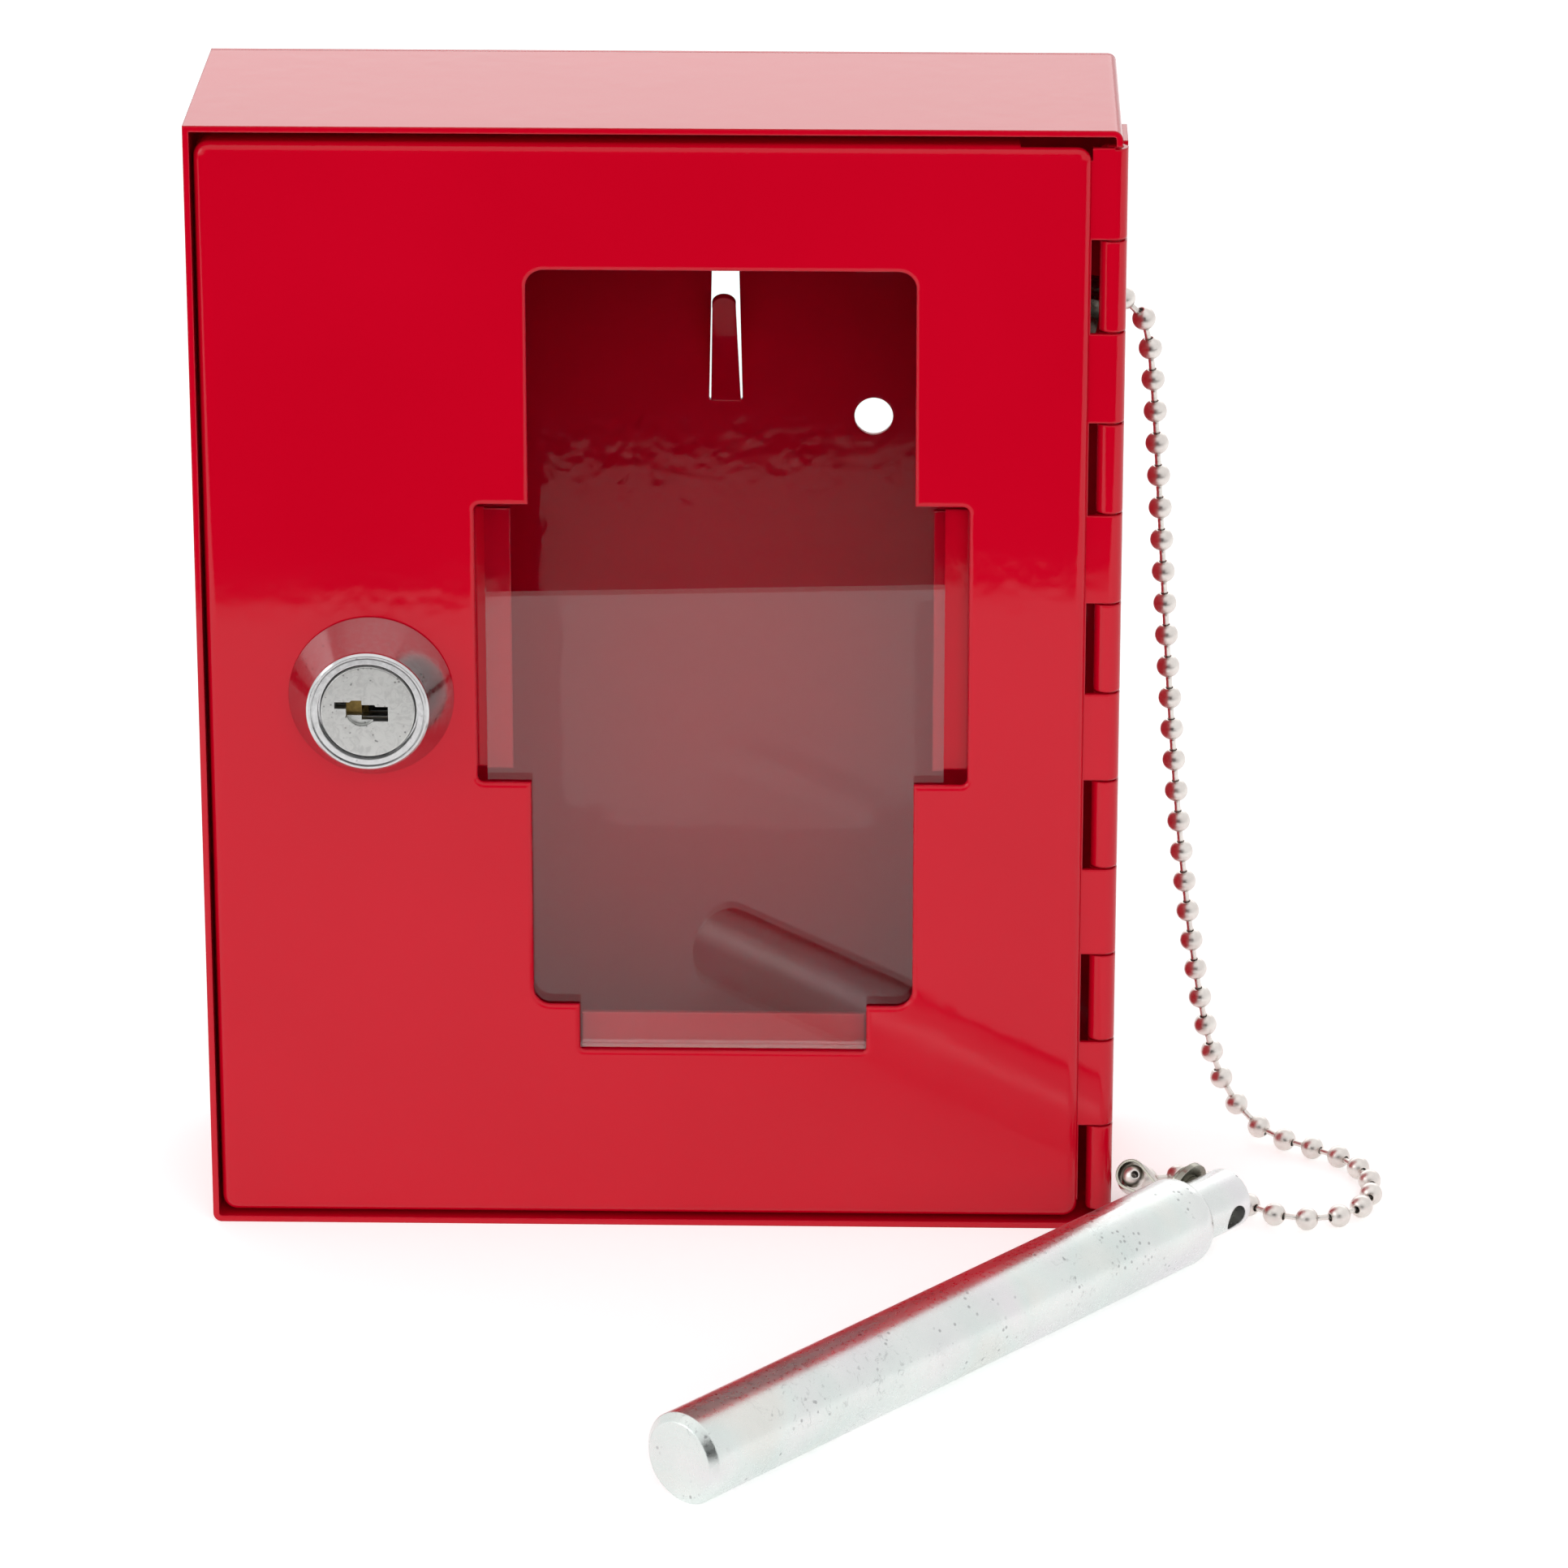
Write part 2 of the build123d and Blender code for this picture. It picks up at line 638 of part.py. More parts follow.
# ==== striker bar ===========================================================================
heading = radians(bar_heading)
bar_dir = Vector(cos(heading), sin(heading), 0)
bar_back = Vector(-sin(heading), cos(heading), 0)
bar_tip = Vector(bar_tip_x, bar_tip_y, bar_radius)
bar_plane = Plane(origin=bar_tip, x_dir=bar_dir, z_dir=bar_back * -1)
bar_axis = Axis(bar_tip, bar_dir)
shoulder_at = bar_length - neck_length

eye_centre = bar_tip + bar_dir * (bar_length - eye_from_end)
eye_dir = bar_back * cos(radians(eye_tilt)) + Vector(0, 0, 1) * sin(radians(eye_tilt))
eye_up = bar_dir.cross(eye_dir)
eye_plane = Plane(origin=eye_centre, x_dir=bar_dir, z_dir=eye_dir)

with BuildPart() as striker_bar:
    with BuildSketch(bar_plane):
        with BuildLine():
            near_end = Polyline(
                (0, 0),
                (0, bar_radius - bar_chamfer),
                (bar_chamfer, bar_radius),
                (shoulder_at - bar_shoulder_run, bar_radius),
            )
            shoulder = TangentArc(near_end @ 1, (shoulder_at, neck_radius), tangent=(1, 0))
            Polyline(
                shoulder @ 1,
                (bar_length - neck_chamfer, neck_radius),
                (bar_length, neck_radius - neck_chamfer),
                (bar_length, 0),
                (0, 0),
            )
        make_face()
    revolve(axis=bar_axis)
    with BuildSketch(eye_plane):
        Circle(eye_radius)
    extrude(amount=neck_radius + bar_chamfer, both=True, mode=Mode.SUBTRACT)
striker_bar.part.label = "striker_bar"
export_step(striker_bar.part, "parts/striker_bar.step")

# ==== chain clips: a strap looped round the end bead, closed by a round eyelet ===============
clip_loop_inner = bead_radius + clip_bead_play
clip_loop_outer = clip_loop_inner + clip_sheet
rivet_radius = eye_radius - rivet_press_clearance
eyelet_bore = rivet_radius + clip_eyelet_clearance
eyelet_at = neck_radius + clip_neck_gap
eyelet_mid = eyelet_at + clip_eyelet_thickness / 2
loop_at = eyelet_mid + clip_reach

clip_dir = bar_dir * cos(radians(clip_turn)) + eye_up * sin(radians(clip_turn))
bar_strap_plane = Plane(origin=eye_centre, x_dir=eye_dir, z_dir=eye_dir.cross(clip_dir))
bar_eyelet_plane = Plane(origin=eye_centre + eye_dir * eyelet_at, x_dir=clip_dir, z_dir=eye_dir)
bar_loop_centre = eye_centre + eye_dir * loop_at + clip_dir * clip_offset

with BuildPart() as chain_clip_bar:
    with BuildSketch(bar_strap_plane):
        with Locations((loop_at, clip_offset)):
            Circle(clip_loop_outer)
        with Locations((eyelet_mid, clip_root_offset)):
            Circle(clip_root_radius)
        make_hull()
    extrude(amount=clip_width / 2, both=True)
    with BuildSketch(bar_strap_plane):
        with Locations((loop_at, clip_offset)):
            Circle(clip_loop_inner)
        with Locations((eyelet_mid, clip_root_offset)):
            Circle(clip_root_radius - clip_sheet)
        make_hull()
    extrude(amount=clip_width, both=True, mode=Mode.SUBTRACT)
    with BuildSketch(bar_eyelet_plane):
        Circle(clip_eyelet_radius)
    extrude(amount=clip_eyelet_thickness)
    with BuildSketch(bar_eyelet_plane):
        Circle(eyelet_bore)
    extrude(amount=clip_eyelet_thickness, mode=Mode.SUBTRACT)
chain_clip_bar.part.label = "chain_clip_bar"
export_step(chain_clip_bar.part, "parts/chain_clip_bar.step")

with BuildPart() as clip_rivet:
    with BuildSketch(bar_eyelet_plane.offset(clip_eyelet_thickness + rivet_head_gap)):
        Circle(rivet_head_radius)
    extrude(amount=rivet_head_height)
    with BuildSketch(bar_eyelet_plane.offset(-rivet_end_depth)):
        Circle(rivet_radius)
    extrude(amount=rivet_end_depth + clip_eyelet_thickness + rivet_head_gap)
    with BuildSketch(
        bar_eyelet_plane.offset(clip_eyelet_thickness + rivet_head_gap + rivet_head_height)
    ):
        Circle(rivet_dish_radius)
    extrude(amount=-rivet_dish_depth, mode=Mode.SUBTRACT)
clip_rivet.part.label = "clip_rivet"
export_step(clip_rivet.part, "parts/clip_rivet.step")

chain_start = Vector(inner_x - chain_inset, chain_start_y, chain_start_z)
case_clip_up = Vector(sin(radians(case_clip_tilt)), 0, cos(radians(case_clip_tilt)))
case_clip_dir = Vector(0, 1, 0)
case_clip_centre = chain_start - case_clip_up * clip_reach - case_clip_dir * clip_offset
case_strap_plane = Plane(
    origin=case_clip_centre, x_dir=case_clip_up, z_dir=case_clip_up.cross(case_clip_dir)
)
case_eyelet_plane = Plane(origin=case_clip_centre, x_dir=case_clip_dir, z_dir=case_clip_up)

with BuildPart() as chain_clip_case:
    with BuildSketch(case_strap_plane):
        with Locations((clip_reach, clip_offset)):
            Circle(clip_loop_outer)
        with Locations((0, clip_root_offset)):
            Circle(clip_root_radius)
        make_hull()
    extrude(amount=clip_width / 2, both=True)
    with BuildSketch(case_strap_plane):
        with Locations((clip_reach, clip_offset)):
            Circle(clip_loop_inner)
        with Locations((0, clip_root_offset)):
            Circle(clip_root_radius - clip_sheet)
        make_hull()
    extrude(amount=clip_width, both=True, mode=Mode.SUBTRACT)
    with BuildSketch(case_eyelet_plane):
        Circle(clip_eyelet_radius)
    extrude(amount=clip_eyelet_thickness / 2, both=True)
    with BuildSketch(case_eyelet_plane):
        Circle(eyelet_bore)
    extrude(amount=clip_eyelet_thickness, both=True, mode=Mode.SUBTRACT)
chain_clip_case.part.label = "chain_clip_case"
export_step(chain_clip_case.part, "parts/chain_clip_case.step")

# ==== ball chain: from the clip inside the case, through the wall, down and back to the bar ==
chain_points = [
    chain_start,
    Vector(63.6, -1.6, 125.3),
    Vector(65.2, 1.3, 112.0),
    Vector(66.6, 2.8, 90.0),
    Vector(68.6, 4.9, 60.0),
    Vector(70.9, 7.2, 37.0),
    Vector(73.6, 10.0, 19.0),
    Vector(76.0, 12.4, 9.6),
    Vector(78.6, 13.0, 4.6),
    Vector(82.0, 10.4, 1.8),
    Vector(86.4, 6.5, bead_radius),
    Vector(91.8, 3.0, bead_radius),
    Vector(95.8, -3.2, bead_radius),
    Vector(96.6, -10.4, bead_radius),
    Vector(94.0, -17.0, bead_radius),
    Vector(88.4, -20.2, bead_radius),
    Vector(82.2, -18.4, bead_radius),
    Vector(77.6, -12.8, bead_radius),
    Vector(74.4, -7.2, bead_radius),
    Vector(69.4, -4.8, bead_radius),
    Vector(64.7, -6.8, bead_radius),
    Vector(62.8, -12.8, 3.2),
    bar_loop_centre,
]

runs = [(b - a).length for a, b in zip(chain_points, chain_points[1:])]
chain_radii = []
for i in range(1, len(chain_points) - 1):
    before = chain_points[i] - chain_points[i - 1]
    after = chain_points[i + 1] - chain_points[i]
    turn = before.get_angle(after)
    chain_radii.append(chain_fold * min(before.length, after.length) / tan(radians(turn) / 2))
print("chain runs", [round(run, 1) for run in runs])
print("chain radii", [round(radius, 1) for radius in chain_radii])

with BuildLine() as chain_route:
    FilletPolyline(*chain_points, radius=chain_radii)
chain_wire = chain_route.wire()
pitch_count = round(chain_wire.length / bead_pitch)
pitch = chain_wire.length / pitch_count
print("chain length", round(chain_wire.length, 1), "beads", pitch_count + 1, "pitch", round(pitch, 3))

bead_centres = [
    chain_wire.position_at(pitch * i, position_mode=PositionMode.LENGTH)
    for i in range(pitch_count + 1)
]
link_planes = [
    Plane(origin=a + (b - a).normalized() * link_head_setback, z_dir=b - a)
    for a, b in zip(bead_centres, bead_centres[1:])
]
far_head_planes = [
    Plane(origin=b - (b - a).normalized() * link_head_setback, z_dir=b - a)
    for a, b in zip(bead_centres, bead_centres[1:])
]
bore_planes = [Plane(origin=a, z_dir=b - a) for a, b in zip(bead_centres, bead_centres[1:])]
bore_planes += [Plane(origin=b, z_dir=a - b) for a, b in zip(bead_centres, bead_centres[1:])]

ball_planes = []
for i, centre in enumerate(bead_centres):
    ahead = bead_centres[min(i + 1, pitch_count)]
    behind = bead_centres[max(i - 1, 0)]
    along = Plane(origin=centre, z_dir=ahead - behind)
    ball_planes.append(Plane(origin=centre, x_dir=along.x_dir, z_dir=along.y_dir))

with BuildPart() as chain_beads:
    with Locations(*ball_planes):
        Sphere(bead_radius)
    with Locations(*ball_planes):
        Sphere(bead_radius - bead_wall, mode=Mode.SUBTRACT)
    with Locations(*bore_planes):
        Cylinder(
            link_radius + link_clearance,
            bead_radius + bead_wall,
            align=(Align.CENTER, Align.CENTER, Align.MIN),
            mode=Mode.SUBTRACT,
        )
chain_beads.part.label = "chain_beads"
export_step(chain_beads.part, "parts/chain_beads.step")

with BuildPart() as chain_links:
    with Locations(*link_planes):
        Cylinder(
            link_radius,
            pitch - 2 * link_head_setback,
            align=(Align.CENTER, Align.CENTER, Align.MIN),
        )
    with Locations(*(link_planes + far_head_planes)):
        Sphere(link_head_radius)
chain_links.part.label = "chain_links"
export_step(chain_links.part, "parts/chain_links.step")
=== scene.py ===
from math import atan2, cos, pi, radians, sin, sqrt

import bmesh
import bpy
from mathutils import Matrix, Vector


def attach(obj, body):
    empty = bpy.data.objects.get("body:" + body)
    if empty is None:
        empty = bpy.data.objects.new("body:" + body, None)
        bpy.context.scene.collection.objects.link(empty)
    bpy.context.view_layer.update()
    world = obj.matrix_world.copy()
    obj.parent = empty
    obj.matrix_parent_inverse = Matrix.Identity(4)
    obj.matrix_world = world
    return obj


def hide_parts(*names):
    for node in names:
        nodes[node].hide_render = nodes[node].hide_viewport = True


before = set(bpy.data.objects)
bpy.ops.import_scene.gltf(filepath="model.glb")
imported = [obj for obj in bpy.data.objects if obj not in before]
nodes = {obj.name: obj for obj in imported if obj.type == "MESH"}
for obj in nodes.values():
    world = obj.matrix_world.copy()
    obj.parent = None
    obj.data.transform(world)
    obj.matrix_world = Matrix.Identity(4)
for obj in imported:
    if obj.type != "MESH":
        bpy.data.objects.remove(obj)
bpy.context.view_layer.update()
scene = bpy.context.scene
collection = scene.collection

# ---------------------------------------------------------------- camera
LENS = 167.35                           # mm, a long lens keeps the sides nearly parallel
SENSOR_WIDTH = 36.0                     # mm
CAMERA_PLACE = (0.036, -0.920, 0.392)
CAMERA_DOWN = 20.06                     # degrees below level
CAMERA_TURN = 1.22                      # degrees about z

camera_data = bpy.data.cameras.new("camera")
camera_data.lens = LENS
camera_data.sensor_width = SENSOR_WIDTH
camera_data.clip_start = 0.05
camera = bpy.data.objects.new("camera", camera_data)
camera.location = CAMERA_PLACE
camera.rotation_euler = (radians(90 - CAMERA_DOWN), 0, radians(CAMERA_TURN))
collection.objects.link(camera)
scene.camera = camera


# ---------------------------------------------------------------- mesh helpers
def new_object(name, mesh):
    """Links a new object of this mesh to the scene."""
    made = bpy.data.objects.new(name, mesh)
    collection.objects.link(made)
    return made


def lathe(bm, profile, place, segments, capped=False):
    """Revolves a profile of (radius, z) pairs about z, and places it by a matrix."""
    rings = []
    for radius, z in profile:
        angles = [2 * pi * i / segments for i in range(segments)]
        rings.append([bm.verts.new(place @ Vector((radius * cos(a), radius * sin(a), z)))
                      for a in angles])
    for lower, upper in zip(rings, rings[1:]):
        for i in range(segments):
            j = (i + 1) % segments
            bm.faces.new((lower[i], lower[j], upper[j], upper[i]))
    if capped:
        bm.faces.new(list(reversed(rings[0])))
        bm.faces.new(rings[-1])


def frame_at(origin, direction):
    """A matrix that carries the z axis to this direction at this place."""
    z = Vector(direction).normalized()
    x = z.orthogonal().normalized()
    y = z.cross(x)
    return Matrix(((x.x, y.x, z.x, origin[0]),
                   (x.y, y.y, z.y, origin[1]),
                   (x.z, y.z, z.z, origin[2]),
                   (0, 0, 0, 1)))


# ---------------------------------------------------------------- ball chain
BEAD_RADIUS = 0.00155
BEAD_PITCH = 0.0046
BEAD_LIP = 0.00052                      # radius of the hole where the rod enters a bead
BEAD_STEPS = 20                         # bands from one hole to the other
BEAD_SEGMENTS = 32
ROD_RADIUS = 0.00042
ROD_INSET = 0.0009                      # from a bead's middle to the rod's end
ROD_SEGMENTS = 14

# From the clip in the case, out of the right wall, down to the floor, round in a loop
# and up to the clip at the bar, in millimetres.
ROUTE = [
    (56.9, -4.3, 126.3), (63.6, -1.6, 125.3), (65.2, 1.3, 112.0), (66.6, 2.8, 90.0),
    (68.6, 4.9, 60.0), (70.9, 7.2, 37.0), (73.6, 10.0, 19.0), (76.0, 12.4, 9.6),
    (78.6, 13.0, 4.6), (82.0, 10.4, 1.8), (86.4, 6.5, 1.55), (91.8, 3.0, 1.55),
    (95.8, -3.2, 1.55), (96.6, -10.4, 1.55), (94.0, -17.0, 1.55), (88.4, -20.2, 1.55),
    (82.2, -18.4, 1.55), (77.6, -12.8, 1.55), (74.4, -7.2, 1.55), (69.4, -4.8, 1.55),
    (64.7, -6.8, 1.55), (62.8, -12.8, 3.2), (63.7198, -18.3261, 6.9825),
]


def chain_path():
    """Points of the route's NURBS spline, from the case to the bar."""
    curve = bpy.data.curves.new("chain_route", "CURVE")
    curve.dimensions = "3D"
    curve.resolution_u = 48
    spline = curve.splines.new("NURBS")
    spline.points.add(len(ROUTE) - 1)
    for point, (x, y, z) in zip(spline.points, ROUTE):
        point.co = (x / 1000, y / 1000, z / 1000, 1)
    spline.order_u = 3
    spline.use_endpoint_u = True
    guide = bpy.data.objects.new("chain_route", curve)
    collection.objects.link(guide)
    bpy.context.view_layer.update()
    depsgraph = bpy.context.evaluated_depsgraph_get()
    line = bpy.data.meshes.new_from_object(guide.evaluated_get(depsgraph))
    points = [v.co.copy() for v in line.vertices]
    bpy.data.objects.remove(guide)
    bpy.data.meshes.remove(line)
    start = Vector(ROUTE[0]) / 1000
    if (points[0] - start).length > (points[-1] - start).length:
        points.reverse()
    return points


def evenly_along(points, pitch):
    """Places along a line, as near to this pitch as divides its length evenly."""
    travel = [0.0]
    for a, b in zip(points, points[1:]):
        travel.append(travel[-1] + (b - a).length)
    count = round(travel[-1] / pitch)
    places = []
    for i in range(count + 1):
        s = travel[-1] / count * i
        k = 0
        while k < len(travel) - 2 and travel[k + 1] < s:
            k += 1
        t = (s - travel[k]) / max(travel[k + 1] - travel[k], 1e-12)
        places.append(points[k].lerp(points[k + 1], min(max(t, 0), 1)))
    return places


def bead_profile():
    """A hollow bead's outline, with its rim turned in at the two holes."""
    first = atan2(BEAD_LIP, sqrt(BEAD_RADIUS ** 2 - BEAD_LIP ** 2))
    end = BEAD_RADIUS * cos(first)
    outline = [(BEAD_LIP * 0.96, -end + 0.00035), (BEAD_LIP * 0.94, -end + 0.0001)]
    for i in range(BEAD_STEPS + 1):
        a = first + (pi - 2 * first) * i / BEAD_STEPS
        outline.append((BEAD_RADIUS * sin(a), -BEAD_RADIUS * cos(a)))
    outline += [(BEAD_LIP * 0.94, end - 0.0001), (BEAD_LIP * 0.96, end - 0.00035)]
    return outline


def rod_profile(gap):
    """A rod that is slightly drawn in at its middle, between beads this far apart."""
    return [(ROD_RADIUS, ROD_INSET), (ROD_RADIUS * 0.98, gap * 0.42),
            (ROD_RADIUS * 0.93, gap * 0.5), (ROD_RADIUS * 0.98, gap * 0.58),
            (ROD_RADIUS, gap - ROD_INSET)]


path = chain_path()
beads = evenly_along(path, BEAD_PITCH)
bm = bmesh.new()
for i, middle in enumerate(beads):
    heading = beads[min(i + 1, len(beads) - 1)] - beads[max(i - 1, 0)]
    lathe(bm, bead_profile(), frame_at(middle, heading), BEAD_SEGMENTS)
for a, b in zip(beads, beads[1:]):
    lathe(bm, rod_profile((b - a).length), frame_at(a, b - a), ROD_SEGMENTS, capped=True)
chain_mesh = bpy.data.meshes.new("ball_chain")
bm.normal_update()
bm.to_mesh(chain_mesh)
bm.free()
chain_mesh.shade_smooth()
ball_chain = new_object("ball_chain", chain_mesh)
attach(ball_chain, "case")
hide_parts("chain_beads", "chain_links")


# ---------------------------------------------------------------- materials
class Surface:
    """A material with one Principled shader, and the nodes that feed it."""

    def __init__(self, name, color, rough, metal, **sockets):
        self.material = bpy.data.materials.new(name)
        self.material.use_nodes = True
        self.tree = self.material.node_tree
        self.shader = self.tree.nodes["Principled BSDF"]
        self.shader.inputs["Base Color"].default_value = (*color, 1)
        self.shader.inputs["Roughness"].default_value = rough
        self.shader.inputs["Metallic"].default_value = metal
        for key, value in sockets.items():
            self.shader.inputs[key.replace("_", " ")].default_value = value
        self.coordinates = self.tree.nodes.new("ShaderNodeTexCoord").outputs["Object"]

    def node(self, kind, **values):
        """A node, with its properties and its unlinked inputs set by name."""
        made = self.tree.nodes.new("ShaderNode" + kind)
        for key, value in values.items():
            if hasattr(made, key):
                setattr(made, key, value)
            else:
                made.inputs[key.replace("_", " ")].default_value = value
        return made

    def feed(self, socket, value):
        """Links an output to a socket, or sets the socket to a number or colour."""
        if isinstance(value, (int, float)):
            socket.default_value = value
        elif isinstance(value, tuple):
            socket.default_value = (*value, 1)
        else:
            self.tree.links.new(value, socket)

    def noise(self, scale, detail, rough=0.5, distortion=0.0):
        n = self.node("TexNoise", Scale=scale, Detail=detail, Roughness=rough,
                      Distortion=distortion)
        self.feed(n.inputs["Vector"], self.coordinates)
        return n.outputs["Fac"]

    def dots(self, scale, inner, outer):
        """1 within inner of the middle of each cell, and 0 beyond outer."""
        n = self.node("TexVoronoi", Scale=scale)
        self.feed(n.inputs["Vector"], self.coordinates)
        return self.span(n.outputs["Distance"], inner, outer, 1.0, 0.0)

    def span(self, value, low, high, start=0.0, end=1.0):
        """Carries low to high over to start to end, and holds it there."""
        n = self.node("MapRange", From_Min=low, From_Max=high, To_Min=start, To_Max=end)
        self.feed(n.inputs["Value"], value)
        return n.outputs["Result"]

    def math(self, operation, a, b):
        n = self.node("Math", operation=operation)
        self.feed(n.inputs[0], a)
        self.feed(n.inputs[1], b)
        return n.outputs[0]

    def mix(self, factor, a, b):
        n = self.node("Mix", data_type="RGBA")
        for socket, value in ((n.inputs[0], factor), (n.inputs[6], a), (n.inputs[7], b)):
            self.feed(socket, value)
        return n.outputs[2]

    def ramp(self, value, stops):
        n = self.node("ValToRGB")
        elements = n.color_ramp.elements
        while len(elements) < len(stops):
            elements.new(0.5)
        for element, (position, color) in zip(elements, stops):
            element.position = position
            element.color = (*color, 1)
        self.feed(n.inputs["Fac"], value)
        return n.outputs["Color"]

    def bump(self, height, distance, strength=1.0, normal=None):
        n = self.node("Bump", Distance=distance, Strength=strength)
        self.feed(n.inputs["Height"], height)
        if normal is not None:
            self.feed(n.inputs["Normal"], normal)
        return n.outputs["Normal"]

    def soft_edges(self, radius):
        """Normals that round off edges by this radius."""
        return self.node("Bevel", samples=6, Radius=radius).outputs["Normal"]

    def set_color(self, value):
        self.feed(self.shader.inputs["Base Color"], value)

    def set_rough(self, value):
        self.feed(self.shader.inputs["Roughness"], value)

    def set_normal(self, value):
        self.feed(self.shader.inputs["Normal"], value)


def dress(surface, *names):
    """Gives CAD nodes this surface."""
    for name in names:
        piece = nodes[name]
        if not piece.data.materials:
            piece.data.materials.append(surface.material)
        for slot in piece.material_slots:
            slot.material = surface.material


def enamel(name, peel, peel_scale, gloss):
    """Red stove enamel over sheet steel. Its orange peel is peel metres high."""
    red, deep_red = (0.600, 0.0004, 0.0158), (0.580, 0.0003, 0.0145)
    s = Surface(name, red, 0.06, 0.0, Specular_IOR_Level=gloss)
    s.set_color(s.mix(s.span(s.noise(35, 2.0), 0.35, 0.65), red, deep_red))
    fine = s.noise(2600, 2.0)
    s.set_rough(s.span(fine, 0.3, 0.7, 0.045, 0.085))
    waves = s.noise(peel_scale, 1.2)
    patches = s.span(s.noise(45, 1.0), 0.35, 0.62, 0.35, 1.0)
    orange_peel = s.bump(s.math("MULTIPLY", waves, patches), peel, 1.0, s.soft_edges(0.0004))
    s.set_normal(s.bump(fine, 3e-7, 1.0, orange_peel))
    return s


def bezel_chrome():
    """Chrome with small nicks in patches."""
    chrome = (0.60, 0.60, 0.605)
    s = Surface("bezel_chrome", chrome, 0.09, 1.0)
    s.set_rough(s.span(s.noise(1500, 3.0), 0.3, 0.7, 0.12, 0.22))
    nicks = s.math("MULTIPLY", s.dots(1100, 0.10, 0.22), s.span(s.noise(300, 2.0), 0.54, 0.60))
    s.set_color(s.mix(s.math("MULTIPLY", nicks, 0.7), chrome, (0.16, 0.16, 0.17)))
    s.set_normal(s.bump(s.noise(700, 3.0), 1.6e-6, 1.0, s.soft_edges(0.00012)))
    return s


def plug_face():
    """Satin nickel with cloudy stains and small dark pits."""
    s = Surface("plug_face", (0.66, 0.66, 0.64), 0.34, 1.0)
    pits = s.math("MULTIPLY", s.dots(1500, 0.12, 0.26), s.span(s.noise(520, 2.0), 0.50, 0.58))
    stain = s.noise(700, 4.0, 0.65, distortion=2.0)
    stained = s.mix(s.span(stain, 0.45, 0.62, 0.0, 0.35),
                    (0.69, 0.695, 0.675), (0.45, 0.455, 0.45))
    s.set_color(s.mix(s.math("MULTIPLY", pits, 0.7), stained, (0.12, 0.12, 0.12)))
    s.set_rough(s.span(stain, 0.3, 0.7, 0.28, 0.42))
    s.set_normal(s.bump(s.math("SUBTRACT", 1.0, pits), 8e-6, 0.6, s.soft_edges(0.0001)))
    return s


def wafer_brass():
    """Tarnished brass."""
    s = Surface("wafer_brass", (0.22, 0.15, 0.05), 0.35, 1.0)
    s.set_color(s.ramp(s.noise(1200, 3.0), [(0.3, (0.25, 0.17, 0.055)),
                                            (0.7, (0.12, 0.08, 0.03))]))
    return s


def plated_steel(name, light, dark, rough):
    """Plated small parts, cloudy between a light and a dark shade."""
    s = Surface(name, light, rough, 1.0)
    s.set_color(s.mix(s.span(s.noise(260, 3.0), 0.35, 0.65), light, dark))
    s.set_rough(s.span(s.noise(1400, 3.0), 0.3, 0.7, rough - 0.06, rough + 0.08))
    s.set_normal(s.bump(s.noise(1800, 3.0), 2.5e-6, 1.0, s.soft_edges(0.00012)))
    return s


def zinc_bar():
    """Zinc plate with a faint rainbow tint, scuffs and small pits."""
    s = Surface("zinc_bar", (0.74, 0.75, 0.74), 0.30, 1.0)
    clouds = s.mix(s.span(s.noise(90, 4.0, 0.6), 0.35, 0.65),
                   (0.76, 0.77, 0.76), (0.66, 0.69, 0.68))
    tint = s.ramp(s.noise(55, 1.0, distortion=0.8),
                  [(0.30, (0.80, 0.67, 0.77)), (0.45, (0.74, 0.76, 0.75)),
                   (0.58, (0.66, 0.79, 0.74)), (0.72, (0.80, 0.76, 0.67))])
    plate = s.mix(0.30, clouds, tint)
    pits = s.math("MULTIPLY", s.dots(900, 0.14, 0.26),
                  s.span(s.noise(120, 3.0, 0.7), 0.53, 0.60))
    scuffs = s.math("MULTIPLY", s.span(s.noise(700, 4.0, 0.75, 1.5), 0.57, 0.66),
                    s.span(s.noise(60, 2.0), 0.50, 0.62))
    scuffed = s.mix(s.math("MULTIPLY", scuffs, 0.45), plate, (0.30, 0.31, 0.31))
    s.set_color(s.mix(s.math("MULTIPLY", pits, 0.55), scuffed, (0.20, 0.20, 0.21)))
    s.set_rough(s.span(s.noise(1500, 4.0, 0.6), 0.3, 0.7, 0.24, 0.36))
    grain = s.bump(s.noise(1700, 3.0, 0.7), 9e-6, 1.0, s.soft_edges(0.0003))
    s.set_normal(s.bump(s.math("SUBTRACT", 1.0, pits), 1.2e-5, 0.8, grain))
    return s


def chain_nickel():
    """Satin nickel of the ball chain."""
    s = Surface("chain_nickel", (0.70, 0.66, 0.63), 0.20, 1.0)
    s.set_color(s.mix(s.span(s.noise(600, 3.0), 0.35, 0.65),
                      (0.78, 0.74, 0.70), (0.70, 0.65, 0.615)))
    s.set_rough(s.span(s.noise(1800, 2.0), 0.3, 0.7, 0.30, 0.42))
    s.set_normal(s.bump(s.noise(1500, 2.0), 2e-6))
    return s


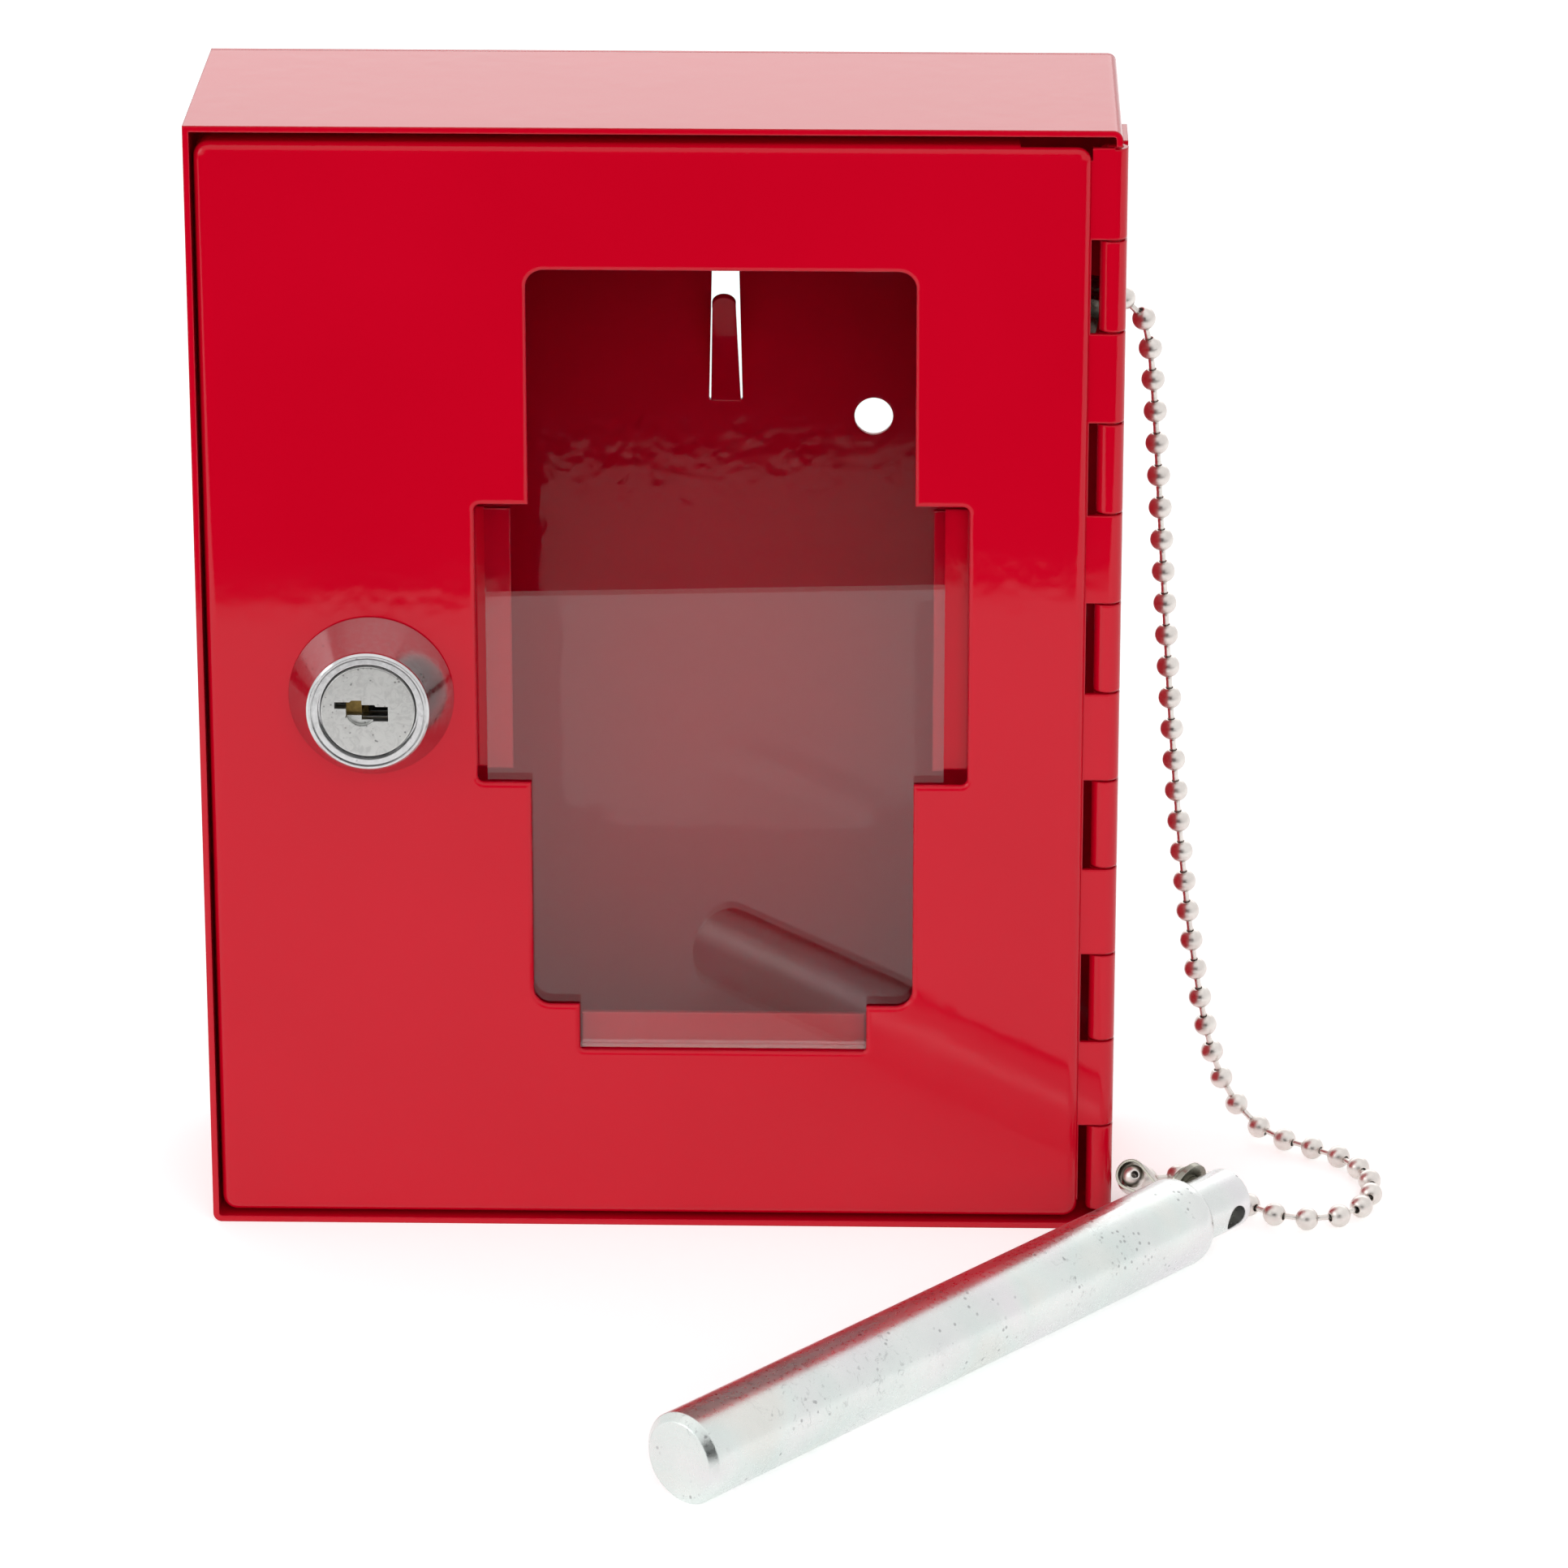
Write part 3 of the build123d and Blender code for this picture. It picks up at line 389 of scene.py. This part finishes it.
dress(enamel("red_enamel", 2.6e-5, 280, 0.30), "case_wrap", "cam_strike", "door_panel",
      "hinge_leaf_case", "hinge_leaf_door", "hinge_pin")
dress(enamel("red_enamel_back", 4.4e-5, 340, 0.24), "back_plate")
dress(Surface("clear_glass", (0.94, 0.97, 0.955), 0.0, 0.0, Transmission_Weight=1.0, IOR=1.46),
      "glass_pane")
dress(bezel_chrome(), "lock_housing")
dress(plug_face(), "lock_plug")
dress(wafer_brass(), "lock_wafers")
dress(plated_steel("zinc_hardware", (0.66, 0.67, 0.68), (0.56, 0.57, 0.60), 0.28),
      "lock_washer", "lock_nut", "lock_cam", "cam_washer", "cam_screw")
dress(plated_steel("clip_steel", (0.36, 0.345, 0.30), (0.25, 0.24, 0.20), 0.22),
      "chain_clip_bar", "chain_clip_case", "clip_rivet")
dress(zinc_bar(), "striker_bar")
chain_mesh.materials.append(chain_nickel().material)


# ---------------------------------------------------------------- stage
FLOOR_COLOR = (0.93, 0.93, 0.93)
FLOOR_LIFT = 0.42                       # keeps the floor pale and its shadow faint
DARK_COLOR = (0.002, 0.002, 0.002)
WORLD_LIGHT = 0.58                      # strength of the light on the object
WORLD_SEEN = 1.0                        # white, as the background is seen


def background_rays(tree):
    """1 for camera, glossy and transmission rays, which see the background, else 0."""
    rays = tree.nodes.new("ShaderNodeLightPath")
    seen = rays.outputs["Is Camera Ray"]
    for kind in ("Is Glossy Ray", "Is Transmission Ray"):
        larger = tree.nodes.new("ShaderNodeMath")
        larger.operation = "MAXIMUM"
        tree.links.new(seen, larger.inputs[0])
        tree.links.new(rays.outputs[kind], larger.inputs[1])
        seen = larger.outputs[0]
    return seen


def plane(name, corners, material):
    mesh = bpy.data.meshes.new(name)
    mesh.from_pydata(corners, [], [tuple(range(len(corners)))])
    mesh.materials.append(material)
    made = new_object(name, mesh)
    return made


floor_surface = Surface("pale_floor", FLOOR_COLOR, 0.9, 0.0, Specular_IOR_Level=0.1)
floor_surface.shader.inputs["Emission Color"].default_value = (1, 1, 1, 1)
floor_surface.feed(floor_surface.shader.inputs["Emission Strength"],
                   floor_surface.math("MULTIPLY", background_rays(floor_surface.tree),
                                      FLOOR_LIFT))
plane("floor", [(-2.5, -0.11, 0), (2.5, -0.46, 0), (2.5, 2.5, 0), (-2.5, 2.5, 0)],
      floor_surface.material)

# Two dark surfaces in front stand for the dark side of the studio. Only reflections and
# the view through the glass meet them, and they cast no shadow.
dark = Surface("dark_surround", DARK_COLOR, 1.0, 0.0, Specular_IOR_Level=0.0).material
for made in (
        plane("dark_front", [(-2.5, -3.0, -0.02), (2.5, -3.0, -0.02), (2.5, -0.05, -0.02),
                             (-2.5, -0.05, -0.02)], dark),
        plane("dark_card", [(-0.9, -2.2, 0.0), (0.9, -2.2, 0.0), (0.9, -2.2, 1.3),
                            (-0.9, -2.2, 1.3)], dark)):
    made.visible_camera = False
    made.visible_diffuse = False
    made.visible_shadow = False

# ---------------------------------------------------------------- light
world = bpy.data.worlds.new("studio")
scene.world = world
world.use_nodes = True
background = world.node_tree.nodes["Background"]
background.inputs["Color"].default_value = (1, 1, 1, 1)
strength = world.node_tree.nodes.new("ShaderNodeMapRange")
strength.inputs["To Min"].default_value = WORLD_LIGHT
strength.inputs["To Max"].default_value = WORLD_SEEN
world.node_tree.links.new(background_rays(world.node_tree), strength.inputs["Value"])
world.node_tree.links.new(strength.outputs["Result"], background.inputs["Strength"])


def softbox(name, place, target, size, watts):
    """A rectangular area light of this size that faces a target."""
    data = bpy.data.lights.new(name, "AREA")
    data.shape = "RECTANGLE"
    data.size, data.size_y = size
    data.energy = watts
    lamp = bpy.data.objects.new(name, data)
    lamp.location = place
    facing = Vector(target) - Vector(place)
    lamp.rotation_euler = facing.to_track_quat("-Z", "Y").to_euler()
    lamp.visible_camera = False
    collection.objects.link(lamp)
    return lamp


softbox("top_softbox", (0.0, -0.25, 1.1), (0, 0, 0.05), (1.2, 0.9), 0.6)
softbox("back_softbox", (0.0, 1.35, 0.75), (0, 0, 0.10), (2.0, 0.8), 4.6)
softbox("left_softbox", (-1.1, -0.6, 0.6), (0, 0, 0.08), (0.7, 0.7), 3.0)
front_fill = softbox("front_fill", (0.25, -1.35, 0.55), (0, 0, 0.08), (1.0, 0.8), 7.0)
front_fill.visible_glossy = False

scene.view_settings.view_transform = "Standard"
